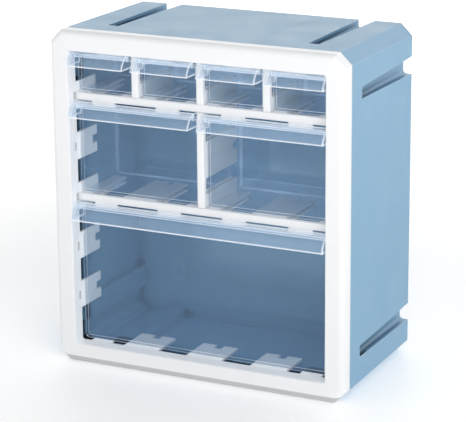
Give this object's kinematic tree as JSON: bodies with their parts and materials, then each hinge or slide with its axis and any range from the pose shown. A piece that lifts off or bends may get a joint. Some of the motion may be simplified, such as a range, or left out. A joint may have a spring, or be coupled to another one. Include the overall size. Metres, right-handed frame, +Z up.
{
  "type": "parts organizer",
  "caption": "Wall or bench organizer for small parts: blue casing, white modular front frame and clear sliding drawers with hooded finger pulls.",
  "frame": {"origin": "middle of the base, below the middle of the overall box", "axes": "+Z up, drawers open towards -Y, +X to the right when facing the drawers"},
  "size_m": [0.25, 0.139, 0.272],
  "materials": {
    "casing_blue": "fine matt moulded polypropylene",
    "frame_white": "satin moulded plastic",
    "drawer_clear": "clear glossy styrene"
  },
  "bodies": {
    "cabinet": {"casing": "casing_blue", "front_frame": "frame_white", "shelf_upper": "frame_white", "shelf_lower": "frame_white", "divider_middle": "frame_white", "divider_top_left": "frame_white", "divider_top_centre": "frame_white", "divider_top_right": "frame_white"},
    "large_drawer": {"drawer_large": "drawer_clear"},
    "medium_left_drawer": {"drawer_medium_left": "drawer_clear"},
    "medium_right_drawer": {"drawer_medium_right": "drawer_clear"},
    "small_1_drawer": {"drawer_small_1": "drawer_clear"},
    "small_2_drawer": {"drawer_small_2": "drawer_clear"},
    "small_3_drawer": {"drawer_small_3": "drawer_clear"},
    "small_4_drawer": {"drawer_small_4": "drawer_clear"}
  },
  "joints": [
    {"name": "large_drawer_slide", "type": "slide", "parent": "cabinet", "child": "large_drawer", "axis": [0, -1, 0], "range_m": [0, 0.108]},
    {"name": "medium_left_drawer_slide", "type": "slide", "parent": "cabinet", "child": "medium_left_drawer", "axis": [0, -1, 0], "range_m": [0, 0.108]},
    {"name": "medium_right_drawer_slide", "type": "slide", "parent": "cabinet", "child": "medium_right_drawer", "axis": [0, -1, 0], "range_m": [0, 0.108]},
    {"name": "small_1_drawer_slide", "type": "slide", "parent": "cabinet", "child": "small_1_drawer", "axis": [0, -1, 0], "range_m": [0, 0.108]},
    {"name": "small_2_drawer_slide", "type": "slide", "parent": "cabinet", "child": "small_2_drawer", "axis": [0, -1, 0], "range_m": [0, 0.108]},
    {"name": "small_3_drawer_slide", "type": "slide", "parent": "cabinet", "child": "small_3_drawer", "axis": [0, -1, 0], "range_m": [0, 0.108]},
    {"name": "small_4_drawer_slide", "type": "slide", "parent": "cabinet", "child": "small_4_drawer", "axis": [0, -1, 0], "range_m": [0, 0.108]}
  ]
}
